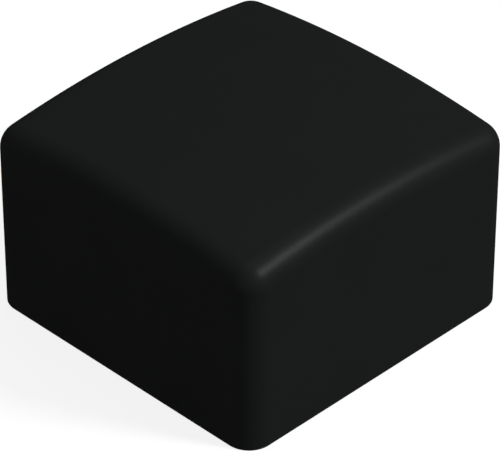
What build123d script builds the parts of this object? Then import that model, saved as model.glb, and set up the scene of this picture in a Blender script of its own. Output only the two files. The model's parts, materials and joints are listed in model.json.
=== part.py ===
from build123d import *

import os
from math import atan, degrees, radians, tan

# End cap that pushes over the outside of a square tube, moulded in one piece.
#
# A square cup, open downwards.  The rim lies on the plane Z = 0 and the closed, domed end is on
# top.  Inside, three grip ribs on each wall press on the tube, a flat ledge stops its end, and two
# crossed stiffeners carry the dome above the ledge.  The origin is the centre of the mouth.  All
# sizes are in millimetres.

# --- The tube, and how it fits ------------------------------------------------
tube_side = 40.0  # outside of the square tube
mouth_gap = 0.2  # between the tube and each wall, at the mouth
socket_depth = 22.0  # from the rim to the ledge that stops the tube
socket_draft = 0.25  # degrees that each wall leans in towards the ledge
socket_corner_radius = 1.5

# --- Outside ------------------------------------------------------------------
side_wall = 1.95  # the walls that face +X and -X, at the mouth
front_wall = 1.8  # the walls that face +Y and -Y, at the mouth
head_height = 6.3  # from the ledge to the top of the dome
dome_radius = 150.0
edge_radius = 3.25  # the upright corners, and the shoulder between the walls and the dome
rim_radius = 0.2  # outer edge of the rim

# --- Mouth --------------------------------------------------------------------
lead_in_width = 0.45  # the flare that guides the tube in
lead_in_height = 0.8

# --- Ledge, and the pockets above it ------------------------------------------
ledge_width = 1.0
dome_wall = 2.0
stiffener_thickness = 1.6  # at its free edge, level with the ledge
pocket_draft = 1.0  # degrees, so that the stiffeners thicken towards the dome
pocket_corner_radius = 1.2

# --- Grip ribs ----------------------------------------------------------------
grip_ribs_per_wall = 3
grip_rib_spacing = 12.0
grip_rib_radius = 0.8  # of the round rib, whose axis lies inside the wall
grip_squeeze = 0.1  # how far each crest stands inside the tube's outline
grip_rib_start = 1.6  # from the rim to where the ribs begin
grip_rib_run_in = 3.0  # length over which they rise to their full height

# --- Worked out from the sizes above ------------------------------------------
socket_side = tube_side + 2 * mouth_gap
cap_length = socket_side + 2 * side_wall  # along X
cap_width = socket_side + 2 * front_wall  # along Y
cap_height = socket_depth + head_height
socket_side_at_ledge = socket_side - 2 * socket_depth * tan(radians(socket_draft))
pocket_field = socket_side_at_ledge - 2 * ledge_width
pocket_side = (pocket_field - stiffener_thickness) / 2
grip_axis = tube_side / 2 - grip_squeeze + grip_rib_radius  # from the centre
flare_angle = degrees(atan(lead_in_width / lead_in_height))


def ball_under_dome(radius):
    """A ball about the dome's centre, turned so that its poles and seam lie far from the dome."""
    centre = Pos(0, 0, cap_height - dome_radius)
    return centre * Sphere(radius, rotation=(0, 90, 0))


def outer_block():
    """The cap's outside as a full solid, cut off flat at the rim.

    A sharp-edged, domed core is swollen by the edge radius, which rounds the upright corners and
    the shoulder alike and gives each top corner a piece of a ball.
    """
    bar = extrude(Rectangle(cap_length - 2 * edge_radius, cap_width - 2 * edge_radius), cap_height)
    core = bar & ball_under_dome(dome_radius - edge_radius)
    block = split(offset(core, edge_radius), Plane.XY)
    rim = block.faces().sort_by(Axis.Z)[0]
    return fillet(rim.edges(), rim_radius)


def grip_rib():
    """One rib upright on the Z axis: a round bar with a cone below it as its run-in."""
    standing = (Align.CENTER, Align.CENTER, Align.MIN)
    flush_with_wall = grip_axis - socket_side / 2
    run_in = Cone(flush_with_wall, grip_rib_radius, grip_rib_run_in, align=standing)
    bar_height = socket_depth - grip_rib_start - grip_rib_run_in
    bar = Cylinder(grip_rib_radius, bar_height, align=standing)
    return Pos(0, 0, grip_rib_start) * (run_in + Pos(0, 0, grip_rib_run_in) * bar)


def grip_ribs():
    """One row of ribs along the wall that faces +X, repeated on the other three walls."""
    row = [
        Pos(grip_axis, 0, 0) * place * grip_rib()
        for place in GridLocations(1, grip_rib_spacing, 1, grip_ribs_per_wall)
    ]
    return [Rot(0, 0, 90 * wall) * rib for wall in range(4) for rib in row]


def socket():
    """The space below the ledge: drafted walls and a flared mouth, less the grip ribs."""
    walls = RectangleRounded(socket_side, socket_side, socket_corner_radius)
    space = extrude(walls, socket_depth, taper=socket_draft)
    mouth_side = socket_side + 2 * lead_in_width
    mouth = RectangleRounded(mouth_side, mouth_side, socket_corner_radius + lead_in_width)
    # The flare is made taller than it shows, so that it crosses the drafted walls cleanly.
    hidden_height = lead_in_height / 2
    space += extrude(mouth, lead_in_height + hidden_height, taper=flare_angle)
    return space - grip_ribs()


def dome_pocket(place):
    """One space above the ledge, which ends under the dome's inner face."""
    outline = RectangleRounded(pocket_side, pocket_side, pocket_corner_radius)
    column = Pos(0, 0, socket_depth) * place * extrude(outline, head_height, taper=pocket_draft)
    return column & ball_under_dome(dome_radius - dome_wall)


def dome_pockets():
    """Four pockets, two by two: what is left between them is the pair of crossed stiffeners."""
    pitch = pocket_side + stiffener_thickness
    return [dome_pocket(place) for place in GridLocations(pitch, pitch, 2, 2)]


def end_cap():
    """The whole cap."""
    return outer_block() - socket() - dome_pockets()


if __name__ == "__main__":
    os.makedirs("parts", exist_ok=True)
    export_step(end_cap(), "parts/end_cap.step")
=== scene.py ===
# %% [markdown]
# # A push-over end cap for square tube
#
# The real cap is a single injection moulding in black polyethylene: a shallow square cup that is
# pushed over the sawn end of a 40 mm square tube.  The CAD model already has its true form.
#
# This lesson gives it what the eye expects of the real thing: one even, closed skin whose edges
# are softly broken, the low sheen of moulded plastic, and a plain studio floor to stand on.
# Every size of the cap is either read from the frame or named here in millimetres.

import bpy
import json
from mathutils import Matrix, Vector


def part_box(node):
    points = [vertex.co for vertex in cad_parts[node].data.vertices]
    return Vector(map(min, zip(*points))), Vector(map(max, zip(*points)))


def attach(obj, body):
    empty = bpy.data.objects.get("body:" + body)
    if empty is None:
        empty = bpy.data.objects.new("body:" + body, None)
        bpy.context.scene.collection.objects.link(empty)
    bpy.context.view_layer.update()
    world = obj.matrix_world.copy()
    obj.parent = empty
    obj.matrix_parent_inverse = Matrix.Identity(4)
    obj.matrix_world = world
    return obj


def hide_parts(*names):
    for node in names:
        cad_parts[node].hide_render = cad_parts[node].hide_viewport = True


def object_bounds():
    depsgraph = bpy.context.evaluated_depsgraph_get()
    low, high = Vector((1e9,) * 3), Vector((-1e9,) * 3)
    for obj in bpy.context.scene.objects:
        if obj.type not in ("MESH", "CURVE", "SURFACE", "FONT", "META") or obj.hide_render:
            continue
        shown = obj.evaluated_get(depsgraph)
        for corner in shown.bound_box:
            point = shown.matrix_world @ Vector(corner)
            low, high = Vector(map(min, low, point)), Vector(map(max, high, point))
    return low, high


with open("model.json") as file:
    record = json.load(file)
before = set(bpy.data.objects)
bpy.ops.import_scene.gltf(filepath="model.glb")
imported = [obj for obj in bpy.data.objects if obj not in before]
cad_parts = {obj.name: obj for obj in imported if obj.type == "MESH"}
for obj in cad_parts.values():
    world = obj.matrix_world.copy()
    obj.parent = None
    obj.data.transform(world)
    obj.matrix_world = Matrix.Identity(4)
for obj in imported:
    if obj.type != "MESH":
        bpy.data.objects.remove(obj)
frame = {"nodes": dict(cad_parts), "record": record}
cad_low, cad_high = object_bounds()
print("CAD nodes:", sorted(frame["nodes"]), "in a box from", cad_low[:], "to", cad_high[:])

# %% Libraries and units
import json
from math import cos, degrees, pi, radians, sin, sqrt, tan

import bmesh
import bpy
from mathutils import Vector

MM = 0.001  # the frame is in metres, and the sizes of such a small part read better in millimetres
UP = Vector((0, 0, 1))
SCENE = bpy.context.scene

# %% [markdown]
# ## The sizes of the outside
#
# The box comes from the CAD node itself, and the height of the ledge inside from the mount that
# the tube's end stands against.  The radii are the cap's own.  They could be measured off the
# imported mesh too, but that mesh is only a fine set of flat triangles: a formula gives each round
# its exact shape.  The sizes of the inside follow where they are first needed.

# %% Sizes of the outside
low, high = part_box("end_cap")
mounts = {mount["name"]: mount for mount in frame["record"]["mounts"]}

half_length = high.x
half_width = high.y
cap_top = high.z
ledge = mounts["tube_stop"]["pos_m"][2]

edge_radius = 3.25 * MM  # upright corners, and the shoulder below the dome
dome_radius = 150 * MM
rim_radius = 0.2 * MM  # outer edge of the rim

size_text = " x ".join(f"{side / MM:.2f}" for side in high - low)
print(f"the cap is {size_text} mm, and its ledge is {ledge / MM:.1f} mm up")

# %% [markdown]
# ## One way to make every wall
#
# The outside, the socket and the four pockets are all the same kind of surface: a rounded square
# that changes a little as it rises.  So each is woven from upright columns.  A column has a foot
# and faces one way.  Along a side the feet walk on and the facing stays, and round a corner the
# foot stays and the facing turns.  A point that stands some reach in front of its foot then lies
# on a rounded square whose corner radius is that reach.
#
# A Boolean of boxes with a bevel would be quicker to write, but it leaves long thin faces that
# shade in streaks.  Columns give clean four-sided faces that follow the form.

# %% Columns round a rounded square
def columns(half_x, half_y, stops, corner_steps):
    """(foot, facing) pairs anticlockwise round a rectangle.

    stops are the places of the feet along a side, from -1 at its start to 1 at its end.
    """
    pairs = []
    for quarter in range(4):
        turn = quarter * pi / 2
        facing = Vector((cos(turn), sin(turn), 0))
        along = Vector((-sin(turn), cos(turn), 0))
        ahead, half = (half_x, half_y) if quarter % 2 == 0 else (half_y, half_x)
        pairs += [(facing * ahead + along * (half * stop), facing) for stop in stops]
        corner = facing * ahead + along * half
        for step in range(1, corner_steps):
            angle = turn + step / corner_steps * pi / 2
            pairs.append((corner, Vector((cos(angle), sin(angle), 0))))
    return pairs


def even_stops(count):
    """count + 1 equal stops from -1 to 1."""
    return [2 * step / count - 1 for step in range(count + 1)]


trial_square = columns(1, 1, even_stops(8), corner_steps=4)
print("a square with 8 steps a side and 4 a corner has", len(trial_square), "columns")

# %% The line of points in a column
def at(reach, height):
    """A point of a column's line, before it is told which column."""
    return Vector((reach, height))


def stand(foot, facing, line):
    """The line of (reach, height) points, put up at one column."""
    return [foot + facing * point.x + UP * point.y for point in line]


def softened(corners, radii, steps=4):
    """The line through these (reach, height) corners, with each inner one turned on its radius."""
    line = [corners[0]]
    for before, corner, after, radius in zip(corners, corners[1:], corners[2:], radii):
        back = (before - corner).normalized()
        on = (after - corner).normalized()
        half_angle = back.angle(on) / 2
        cut_off = radius / tan(half_angle)
        centre = corner + (back + on).normalized() * (radius / sin(half_angle))
        start = corner + back * cut_off - centre
        end = corner + on * cut_off - centre
        for step in range(steps + 1):
            line.append(centre + start.slerp(end, step / steps).normalized() * radius)
    return line + [corners[-1]]


square_turn = [at(0, 0), at(1, 0), at(1, 1)]
print("one corner becomes", len(softened(square_turn, [0.25])) - 2, "points when it is softened")

# %% Weaving the columns into a skin
def weave(mesh, lines):
    """Joins neighbouring lines of points into four-sided faces, once round."""
    rows = [[mesh.verts.new(point) for point in line] for line in lines]
    for line, following in zip(rows, rows[1:] + rows[:1]):
        for a, b, c, d in zip(line, line[1:], following[1:], following):
            mesh.faces.new((a, b, c, d))


cap = bmesh.new()
print("the cap's skin is begun, with", len(cap.faces), "faces")

# %% [markdown]
# ## The outside: walls, shoulder and dome
#
# The dome is part of a ball of 150 mm radius, and it meets the walls in a rolled shoulder whose
# radius is that of the upright corners.  A Bevel modifier would round the edges of a sharp block,
# but it cuts them all back by one width.  The dome meets the walls at more than a right angle, so
# the shoulder would come out rounder than the upright corners, and where they meet the skin would
# lie a third of a millimetre too deep.  Nor can the cut be wider than the faces beside it, and a
# smooth dome needs small ones.
#
# Such a form is really a sharp-edged core, swollen by the edge radius.  Each column's foot stands
# under the core's edge, and its line climbs the wall, then turns on the edge radius until it faces
# the way the ball does.  At a corner of the core every line turns about the same point, so the
# corner becomes a piece of a small ball by itself.

# %% The core under the shoulder
dome_centre = UP * (cap_top - dome_radius)
core_x = half_length - edge_radius
core_y = half_width - edge_radius
core_radius = dome_radius - edge_radius


def on_ball(x, y, radius):
    """The point above (x, y) on a ball about the dome's centre."""
    return dome_centre + Vector((x, y, sqrt(radius**2 - x**2 - y**2)))


shoulder_start = on_ball(core_x, 0, core_radius).z
print(f"the shoulder starts {shoulder_start / MM:.2f} mm up, at the middle of a side")

# %% One line up the outside
RIM_ROWS = 5
WALL_ROWS = 12
SHOULDER_ROWS = 28


def outside_line(foot, facing):
    """From the land of the rim, round its edge, up the wall and over the shoulder."""
    rim = []
    for row in range(RIM_ROWS + 1):
        turn = row / RIM_ROWS * pi / 2
        reach = edge_radius - rim_radius * (1 - sin(turn))
        rim.append(at(reach, rim_radius * (1 - cos(turn))))
    edge = on_ball(foot.x, foot.y, core_radius)
    climb = edge.z - rim_radius
    wall = [at(edge_radius, rim_radius + climb * row / WALL_ROWS) for row in range(1, WALL_ROWS)]
    upward = (edge - dome_centre).normalized()
    shoulder = [
        edge + facing.slerp(upward, row / SHOULDER_ROWS) * edge_radius
        for row in range(SHOULDER_ROWS + 1)
    ]
    return stand(foot, facing, rim + wall) + shoulder


trial_line = outside_line(Vector((core_x, 0, 0)), Vector((1, 0, 0)))
print(len(trial_line), "points in one line up the outside")

# %% The outside skin
SIDE_STEPS = 32
CORNER_STEPS = 18

outside = columns(core_x, core_y, even_stops(SIDE_STEPS), CORNER_STEPS)
weave(cap, [outside_line(foot, facing) for foot, facing in outside])
print(len(cap.faces), "faces in the walls and the shoulder")

# %% [markdown]
# The dome itself is a net of four-sided faces whose outer points are the ends of the shoulder's
# lines.  A fan or a single large face would do for its shape, but the sheen on a shallow dome shows
# any unevenness, and a net has none.

# %% The dome
def dome_net(mesh):
    """A net of faces on the ball, up to where the shoulder ends."""
    spread = dome_radius / core_radius
    stops = even_stops(SIDE_STEPS)
    net = []
    for row in stops:
        core_points = [on_ball(core_x * stop, core_y * row, core_radius) for stop in stops]
        points = [dome_centre + (point - dome_centre) * spread for point in core_points]
        net.append([mesh.verts.new(point) for point in points])
    for row, following in zip(net, net[1:]):
        for a, b, c, d in zip(row, row[1:], following[1:], following):
            mesh.faces.new((a, b, c, d))


dome_net(cap)
print(len(cap.faces), "faces with the dome")

# %% [markdown]
# ## The socket
#
# The socket takes the tube.  Its walls lean in by a quarter of a degree, so that the moulding comes
# off its core, and the mouth is flared to guide the tube in.  No edge of a moulding is perfectly
# sharp: polishing breaks the steel's outer edges, and its inner ones keep the radius of the cutter.
# Here each edge is turned on a small radius where the line up the wall is drawn, so that it catches
# a thin thread of light.

# %% Sizes of the socket
side_wall = 1.95 * MM  # the walls that face along X, at the mouth
socket_half = half_length - side_wall
socket_corner = 1.5 * MM
socket_foot = socket_half - socket_corner
socket_draft = radians(0.25)
flare_width = 0.45 * MM
flare_height = 0.8 * MM

broken_edge = 0.1 * MM
root_radius = 0.15 * MM


def socket_wall(height):
    """How far the socket's plain wall stands from the centre."""
    return socket_half - height * tan(socket_draft)


print(f"the socket is {2 * socket_half / MM:.2f} mm square at the mouth")
print(f"and {2 * socket_wall(ledge) / MM:.2f} mm at the ledge")

# %% [markdown]
# ## The grip ribs
#
# Each wall of the socket has three round ribs that bite on the tube.  A rib is a bar whose axis
# lies inside the wall, so that only a low, narrow crest shows.  It starts as a cone, to let the
# tube ride up on it.
#
# The ribs could be separate bars sunk into the wall, but a moulding has no such joint.  Here the
# wall's own columns are packed closely at each rib, and each point steps forward by as much as the
# rib stands proud there.

# %% The rib's height above the wall
rib_spacing = 12 * MM
rib_places = (-rib_spacing, 0, rib_spacing)
rib_radius = 0.8 * MM
rib_crest = 19.9 * MM  # from the centre: 0.1 mm less than half the tube, so that the rib bites
rib_axis = rib_crest + rib_radius
rib_start = 1.6 * MM
rib_run_in = 3.0 * MM
rib_full = rib_start + rib_run_in
rib_start_radius = rib_axis - socket_half  # just flush with the wall


def rib_height(sideways, height):
    """How far the rib at that distance sideways stands in front of the wall."""
    grown = min(max((height - rib_start) / rib_run_in, 0), 1)
    radius = rib_start_radius + (rib_radius - rib_start_radius) * grown
    if height < rib_start or abs(sideways) >= radius:
        return 0
    return max(0, sqrt(radius**2 - sideways**2) - (rib_axis - socket_wall(height)))


print(f"a rib stands {rib_height(0, rib_full) / MM:.2f} mm proud above its run-in")
print(f"and {rib_height(0, ledge) / MM:.2f} mm at the ledge, because the wall leans in beside it")

# %% Columns of the socket, packed at each rib
CREST_STOPS = [step * 0.1 * MM for step in range(-5, 6)]
FOOT_STOPS = [side * wide * MM for side in (-1, 1) for wide in (0.56, 0.62)]  # at the rib's foot
FLAT_PARTS = 6  # between one rib and the next


def socket_stops():
    """Stops along a wall, as shares of half its straight length."""
    packed = sorted(place + stop for place in rib_places for stop in CREST_STOPS + FOOT_STOPS)
    places = [-socket_foot] + packed + [socket_foot]
    filled = []
    for start, end in zip(places, places[1:]):
        parts = FLAT_PARTS if end - start > MM else 1
        filled += [start + (end - start) * part / parts for part in range(parts)]
    return [place / socket_foot for place in filled + [socket_foot]]


print(len(socket_stops()), "columns along each socket wall")

# %% The line up the socket
RUN_IN_ROWS = 12
UPPER_ROWS = 9

flare_lean = flare_width / flare_height
flare_top = flare_width / (flare_lean - tan(socket_draft))  # where it meets the drafted wall
margin = 0.3 * MM  # of the flat beside an edge, so that the edge is turned against a true flat


def wall_at(height):
    """The point of the socket's plain wall at that height."""
    return at(socket_wall(height) - socket_foot, height)


mouth = at(socket_corner + flare_width, 0)
entry = [mouth + at(margin, 0), mouth, wall_at(flare_top), wall_at(rib_start)]
run_in = [rib_start + rib_run_in * row / RUN_IN_ROWS for row in range(RUN_IN_ROWS)]
upper = [rib_full + (ledge - rib_full) * row / UPPER_ROWS for row in range(UPPER_ROWS)]
landing = [wall_at(upper[-1]), wall_at(ledge), wall_at(ledge) - at(margin, 0)]

socket_line = softened(entry, [broken_edge, broken_edge])[:-1]
socket_line += [wall_at(height) for height in run_in + upper[:-1]]
socket_line += softened(landing, [root_radius])
print(len(socket_line), "points up the socket")

# %% The socket's skin
SOCKET_CORNER_STEPS = 9
SQUARE_ON = 1 - 1e-9  # a column faces along an axis if the larger part of its facing is above this


def socket_point(foot, facing, point):
    """A point of the socket, brought forward where a rib stands."""
    along = UP.cross(facing)
    sideways = min((foot.dot(along) - place for place in rib_places), key=abs)
    on_side = max(abs(facing.x), abs(facing.y)) > SQUARE_ON
    proud = rib_height(sideways, point.y) if on_side else 0
    return foot + facing * (point.x - proud) + UP * point.y


socket = columns(socket_foot, socket_foot, socket_stops(), SOCKET_CORNER_STEPS)
socket_lines = [
    [socket_point(foot, facing, point) for point in socket_line] for foot, facing in socket
]
weave(cap, socket_lines)
print(len(cap.faces), "faces with the socket")

# %% [markdown]
# ## The pockets under the dome
#
# Solid plastic over the ledge would shrink as it cools and leave hollows in the dome, so the space
# there is cored out.  Four square pockets remain, and the two stiffeners that cross between them
# keep the dome from being pushed in.  Each pocket ends 2 mm under the outside of the dome, and its
# ceiling is part of a ball about the same centre.
#
# Boxes could be cut out with a Boolean and their tops bent afterwards.  The same columns as before
# need no bending: each line climbs its wall, finds the ball, and runs in along it to the middle.

# %% Sizes of the pockets
ledge_width = 1.0 * MM
dome_wall = 2.0 * MM
stiffener = 1.6 * MM  # thickness of the crossed stiffeners, at their free edge
pocket_corner = 1.2 * MM
pocket_draft = radians(1)
ceiling_root = 0.3 * MM

pocket_side = (2 * (socket_wall(ledge) - ledge_width) - stiffener) / 2
pocket_pitch = pocket_side + stiffener
pocket_foot = pocket_side / 2 - pocket_corner


def ceiling(x, y):
    """Height of the dome's inner face above (x, y)."""
    return on_ball(x, y, dome_radius - dome_wall).z


print(f"pockets {pocket_side / MM:.2f} mm square and {(ceiling(0, 0) - ledge) / MM:.2f} mm deep")

# %% One line up a pocket
CEILING_ROWS = 7


def pocket_line(centre, foot, facing):
    """From the ledge, over the pocket's edge, up its wall and in across its ceiling."""

    def under_dome(reach):
        place = centre + foot + facing * reach
        return at(reach, ceiling(place.x, place.y))

    edge = at(pocket_corner, ledge)
    rise = under_dome(pocket_corner).y - ledge
    meeting = under_dome(pocket_corner - rise * tan(pocket_draft))  # the wall leans in as it rises
    inside = under_dome(meeting.x - ceiling_root - margin)
    corners = [edge + at(margin, 0), edge, meeting, inside]
    line = stand(centre + foot, facing, softened(corners, [broken_edge, ceiling_root]))
    last = line[-1] - centre
    for row in range(1, CEILING_ROWS + 1):
        inward = centre + last * (1 - row / CEILING_ROWS)
        line.append(Vector((inward.x, inward.y, ceiling(inward.x, inward.y))))
    return line


trial_line = pocket_line(Vector(), Vector((pocket_foot, 0, 0)), Vector((1, 0, 0)))
print(len(trial_line), "points from the ledge to the middle of a ceiling")

# %% The four pockets
POCKET_SIDE_STEPS = 10
POCKET_CORNER_STEPS = 7

pocket = columns(pocket_foot, pocket_foot, even_stops(POCKET_SIDE_STEPS), POCKET_CORNER_STEPS)
for across in (-1, 1):
    for deep in (-1, 1):
        centre = Vector((across, deep, 0)) * (pocket_pitch / 2)
        weave(cap, [pocket_line(centre, foot, facing) for foot, facing in pocket])
print(len(cap.faces), "faces with the pockets")

# %% [markdown]
# ## Closing the skin
#
# What is left open is flat: the land of the rim, between the outside and the mouth, and the ledge
# with the stiffeners, between the socket and the four pockets.  A face in Blender can't have a
# hole in it, so each flat has to be cut into several.  They could be drawn by hand, but the
# triangle fill finds them from the edges alone.  The points that meet are welded first.
#
# Then the open edges are counted, which should give none, and the volume inside the skin is set
# against that of the CAD solid.

# %% Weld and fill
WELD = 0.001 * MM

bmesh.ops.remove_doubles(cap, verts=cap.verts, dist=WELD)
for height in (0, ledge):
    around = [
        edge
        for edge in cap.edges
        if edge.is_boundary and all(abs(vert.co.z - height) < WELD for vert in edge.verts)
    ]
    bmesh.ops.triangle_fill(cap, use_beauty=True, edges=around)
bmesh.ops.recalc_face_normals(cap, faces=cap.faces)

open_edges = sum(not edge.is_manifold for edge in cap.edges)
print(f"{len(cap.faces)} faces, {open_edges} open edges, {cap.calc_volume() / MM**3:.0f} cubic mm")

# %% Compare with the CAD solid
solid = bmesh.new()
solid.from_mesh(frame["nodes"]["end_cap"].data)
print(f"the CAD solid holds {solid.calc_volume() / MM**3:.0f} cubic mm")
solid.free()

# %% [markdown]
# ## The finished skin
#
# The cap is one moulding, so its skin is one object, and it stands in for the CAD node.  Smooth
# shading averages the faces round each point, so a flat wall beside a tight round would look
# slightly bent.  Edges could be marked sharp against that, but a moulding has none.  The Weighted
# Normal modifier gives the large faces the say instead: flats stay flat, and only the rounds turn.

# %% Putting things into the scene
def placed(name, data):
    """A new object in the scene."""
    made = bpy.data.objects.new(name, data)
    SCENE.collection.objects.link(made)
    return made


def piece_from(name, shape):
    """An object with the mesh that was built as shape."""
    mesh = bpy.data.meshes.new(name)
    shape.to_mesh(mesh)
    shape.free()
    return placed(name, mesh)


cap_skin = piece_from("cap_skin", cap)
print("cap_skin has", len(cap_skin.data.polygons), "faces")

# %% Even shading, and its place in the frame
cap_skin.data.shade_smooth()
even_shading = cap_skin.modifiers.new("even_shading", "WEIGHTED_NORMAL")
even_shading.mode = "FACE_AREA"
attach(cap_skin, "root")
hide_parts("end_cap")
print("cap_skin stands for end_cap and rides on root")

# %% [markdown]
# ## Wiring materials as sums
#
# A material is a small calculation.  It could be wired in the shader editor, or in a script that
# adds and links one node a line, but it reads better as a formula.  So one class wraps a socket and
# lets it stand in ordinary sums: each sum on values adds its Math node.  Every other node comes
# from one method, which takes the node's settings and what goes into its sockets.

# %% Sockets that can be added and multiplied
class Wire:
    """The output socket of a node, for use in sums on values."""

    def __init__(self, tree, socket):
        self.tree = tree
        self.socket = socket

    def maths(self, operation, first, second):
        """A Math node on two numbers or wires."""
        return self.tree.node("ShaderNodeMath", {"operation": operation}, {0: first, 1: second})

    def __add__(self, other):
        return self.maths("ADD", self, other)

    def __sub__(self, other):
        return self.maths("SUBTRACT", self, other)

    def __rsub__(self, other):
        return self.maths("SUBTRACT", other, self)

    def __mul__(self, other):
        return self.maths("MULTIPLY", self, other)

    def __or__(self, other):
        return self.maths("MAXIMUM", self, other)  # of two masks, where either is 1

    __radd__ = __add__
    __rmul__ = __mul__
    __ror__ = __or__


class Tree:
    """The emptied node tree of a material or a world."""

    def __init__(self, owner):
        owner.use_nodes = True
        self.nodes = owner.node_tree.nodes
        self.links = owner.node_tree.links
        self.nodes.clear()

    def node(self, kind, settings=None, inputs=None, output=0):
        """Adds a node: its settings first, then a value or a wire for each input."""
        made = self.nodes.new(kind)
        for name, value in (settings or {}).items():
            setattr(made, name, value)
        for name, value in (inputs or {}).items():
            if isinstance(value, Wire):
                self.links.new(value.socket, made.inputs[name])
            else:
                made.inputs[name].default_value = value
        return Wire(self, made.outputs[output]) if made.outputs else None


trial = bpy.data.materials.new("trial")
mask = Tree(trial).node("ShaderNodeTexNoise")
print("1 - mask adds a Math node that is set to", (1 - mask).socket.node.operation)
bpy.data.materials.remove(trial)

# %% [markdown]
# ## Black moulded plastic
#
# Polyethylene coloured with carbon black is as dark as plastic gets, and its skin copies the fine
# spark-eroded grain of the steel mould.  The grain is about 0.2 mm from bump to bump and only some
# microns high: from a step away it shows as an even satin, and close up as a fine tooth.  The
# pigment is never spread quite evenly either, which a second, much larger pattern gives.
#
# The grain could be an image laid on the part, but an image has seams and ends somewhere.  Noise
# measured in the part's own metres runs over every edge.
#
# The sheen is given by the shader's coat and not by its base.  Each bump has more of it than the
# hollow beside it, and of the two only the coat's weight keeps such a pattern when the part is
# exported.  The Layer Weight node also weakens it where the surface turns away from the eye.
# There a smooth plastic would shine more, but on a grained one each bump hides the shine of the
# next.

# %% Measures of the plastic
GRAIN_SIZE = 0.2 * MM  # from bump to bump
GRAIN_HEIGHT = 0.01 * MM
GRAIN_STRENGTH = 0.9
CLOUD_SIZE = 9 * MM  # of a patch with more or less pigment
PIGMENT_SPREAD = 0.05  # how far a patch may be from the mean colour, as a share of it
ROUGHNESS = 0.42
ROUGHNESS_BY_PATCH, ROUGHNESS_BY_GRAIN = 0.08, 0.06  # how much it changes across each pattern
SHEEN = 0.103
SHEEN_BY_PATCH, SHEEN_BY_GRAIN = 0.2, 1.0
SHEEN_ROUGHNESS = 0.44

slots = {entry["slot"]: entry for entry in frame["record"]["materials"]}
black = slots["black_plastic"]["base_color"]
print("the record gives the plastic the colour", black)

# %% The plastic
def tinted(colour, factor):
    """The colour made darker or lighter, with the fourth number that a socket wants."""
    return (*(factor * part for part in colour), 1)


def noise(tree, place, size, detail):
    """A soft random pattern from 0 to 1, whose features are about that size."""
    measures = {"Vector": place, "Scale": 1 / size, "Detail": detail}
    return tree.node("ShaderNodeTexNoise", inputs=measures)


def moulded_plastic(name, colour):
    """Near-black plastic with a fine moulded grain."""
    material = bpy.data.materials.new(name)
    tree = Tree(material)
    place = tree.node("ShaderNodeTexCoord", output="Object")
    grain = noise(tree, place, GRAIN_SIZE, detail=3)
    cloud = noise(tree, place, CLOUD_SIZE, detail=2)
    turned_away = tree.node("ShaderNodeLayerWeight", inputs={"Blend": 0.5}, output="Facing")
    patchy = cloud - 0.5  # both patterns run from 0 to 1, and these two lie evenly about 0
    toothed = grain - 0.5
    bite = 1 + SHEEN_BY_PATCH * patchy + SHEEN_BY_GRAIN * toothed
    darker, lighter = tinted(colour, 1 - PIGMENT_SPREAD), tinted(colour, 1 + PIGMENT_SPREAD)
    shade = tree.node(
        "ShaderNodeMix",
        settings={"data_type": "RGBA"},
        inputs={"Factor": cloud, "A": darker, "B": lighter},
        output="Result",
    )
    tooth = tree.node(
        "ShaderNodeBump",
        inputs={"Strength": GRAIN_STRENGTH, "Distance": GRAIN_HEIGHT, "Height": grain},
    )
    surface = tree.node(
        "ShaderNodeBsdfPrincipled",
        inputs={
            "Base Color": shade,
            "Roughness": ROUGHNESS + ROUGHNESS_BY_PATCH * patchy + ROUGHNESS_BY_GRAIN * toothed,
            "Specular IOR Level": 0,
            "Coat Weight": SHEEN * (1 - turned_away) * bite,
            "Coat Roughness": SHEEN_ROUGHNESS,
            "Normal": tooth,
        },
    )
    tree.node("ShaderNodeOutputMaterial", inputs={"Surface": surface})
    return material


plastic = moulded_plastic("black_plastic", black)
cap_skin.data.materials.append(plastic)
print("black_plastic has", len(plastic.node_tree.nodes), "nodes")

# %% [markdown]
# ## The floor
#
# The cap stands on a wide sheet of white paper under a white sky, so that nothing but the cap
# draws the eye, and the sheen of the plastic meets the same white.  What the paper must not do is
# throw that white back at the shaded wall, or the black turns grey.  Black boards laid just outside
# the view would stop it in a studio, but they would show from other sides.
#
# Here the Light Path node does their work: a ray that looks at the paper, straight or by way of the
# sheen, finds it white, and a ray that gathers soft light finds it dark.  Part of the white is the
# paper's own glow, which keeps the cap's shadow light.

# %% The floor
FLOOR_RADIUS = 12  # in metres, which puts its edge on the horizon
FLOOR_SIDES = 96

sheet = bmesh.new()
bmesh.ops.create_circle(sheet, cap_ends=True, segments=FLOOR_SIDES, radius=FLOOR_RADIUS)
bmesh.ops.translate(sheet, verts=sheet.verts, vec=UP * cad_low.z)
floor = piece_from("floor", sheet)
print("the floor is", round(floor.dimensions.x), "m across")

# %% Its paper
WHITE = (1, 1, 1, 1)


def looked_at(tree):
    """1 for a ray that looks, straight, mirrored or through glass; 0 for one that gathers light."""
    kinds = ("Is Camera Ray", "Is Glossy Ray", "Is Transmission Ray")
    straight, mirrored, through = (tree.node("ShaderNodeLightPath", output=kind) for kind in kinds)
    return straight | mirrored | through


def studio_paper(name, own_glow, bounce):
    """Paper that looks white and gives back only a little light."""
    material = bpy.data.materials.new(name)
    tree = Tree(material)
    dark = tree.node("ShaderNodeBsdfDiffuse", inputs={"Color": (bounce, bounce, bounce, 1)})
    white = tree.node("ShaderNodeBsdfDiffuse", inputs={"Color": WHITE})
    glow = tree.node("ShaderNodeEmission", inputs={"Color": WHITE, "Strength": 1})
    bright = tree.node("ShaderNodeMixShader", inputs={"Fac": own_glow, 1: white, 2: glow})
    surface = tree.node("ShaderNodeMixShader", inputs={"Fac": looked_at(tree), 1: dark, 2: bright})
    tree.node("ShaderNodeOutputMaterial", inputs={"Surface": surface})
    return material


paper = studio_paper("studio_paper", own_glow=0.85, bounce=0.05)
floor.data.materials.append(paper)
print("studio_paper has", len(paper.node_tree.nodes), "nodes")

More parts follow.
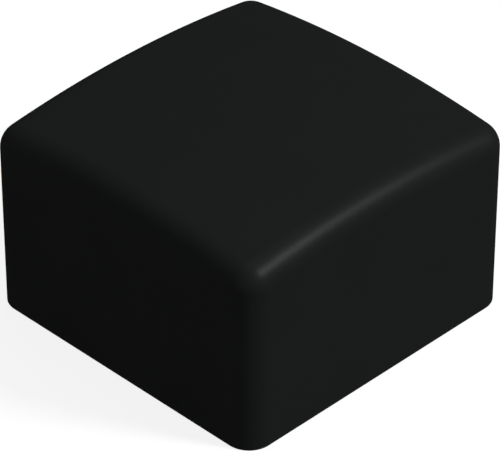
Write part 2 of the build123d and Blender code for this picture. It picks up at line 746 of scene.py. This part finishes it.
# %% [markdown]
# ## Light
#
# One large round softbox stands far off to the right of the camera, a little higher than it.  Its
# reflection runs along the right-hand shoulder, and it lights the dome and the right-hand wall
# alike.  A weaker and much wider bank overhead adds a little to the dome and hardly anything to the
# walls.  The left-hand wall has only what comes from the room.
#
# Area lamps close by would do this too, but they light the near end of a wall more than the far
# one.  A Sun lamp with a wide angle is a softbox without such a fall-off.  At a strength of pi it
# lights white paper that faces it to exactly white.

# %% Softbox and overhead bank
def direction(azimuth, elevation):
    """The way from the cap to what stands at that azimuth and elevation, in degrees.

    An azimuth of 0 is in front, on the -Y side, and 90 is on the +X side.
    """
    around, above = radians(azimuth), radians(elevation)
    return Vector((sin(around) * cos(above), -cos(around) * cos(above), sin(above)))


def far_softbox(name, towards, brightness, width):
    """Light from one direction, as wide as it looks from the cap, in degrees."""
    lamp = bpy.data.lights.new(name, "SUN")
    lamp.energy = brightness * pi
    lamp.angle = radians(width)
    softbox = placed(name, lamp)
    softbox.rotation_euler = towards.to_track_quat("Z", "Y").to_euler()
    softbox.location = towards  # a sun shines the same from anywhere, but here it is easy to find
    return softbox


key_direction = direction(azimuth=30.2, elevation=38.2)
far_softbox("key_softbox", key_direction, brightness=1.3, width=14)
far_softbox("overhead_bank", UP, brightness=0.15, width=50)
print(f"the softbox stands {degrees(key_direction.angle(UP)):.0f} degrees from overhead")

# %% [markdown]
# ## The room
#
# Like the paper, the room is white to a ray that looks at it, and dim to one that gathers soft
# light.  A plain white world would be simpler, but it would fill the shade on the left-hand wall,
# and it is the shade that shows the form.

# %% The room
ROOM_LIGHT = 0.26

room = bpy.data.worlds.new("room")
SCENE.world = room
tree = Tree(room)
seen_strength = ROOM_LIGHT + (1 - ROOM_LIGHT) * looked_at(tree)
sky = tree.node("ShaderNodeBackground", inputs={"Color": WHITE, "Strength": seen_strength})
tree.node("ShaderNodeOutputWorld", inputs={"Surface": sky})
print("the room gives", ROOM_LIGHT, "of the light that it seems to")

# %% [markdown]
# ## Camera
#
# The camera looks down on one upright corner, so that two walls show equally.  An orthographic
# camera would keep their edges exactly parallel, but to the eye they would then seem to spread.  So
# it stands ten cap widths off with a long lens, and they draw together only a little.

# %% The camera
VIEW_WIDTH = 60.67 * MM  # what the camera takes in from side to side, at the cap
CAMERA_DISTANCE = 443.9 * MM
AIM_HEIGHT = 10.97 * MM

camera_data = bpy.data.cameras.new("camera")
camera_data.sensor_width = 36  # mm, the width of film that lenses are usually named for
camera_data.lens = camera_data.sensor_width * CAMERA_DISTANCE / VIEW_WIDTH
camera_data.clip_end = 2 * FLOOR_RADIUS

back = direction(azimuth=-45, elevation=35.6)
camera = placed("camera", camera_data)
camera.location = UP * AIM_HEIGHT + back * CAMERA_DISTANCE
camera.rotation_euler = back.to_track_quat("Z", "Y").to_euler()
SCENE.camera = camera
SCENE.view_settings.view_transform = "Standard"
print(f"a {camera_data.lens:.0f} mm lens at", [round(part, 4) for part in camera.location])
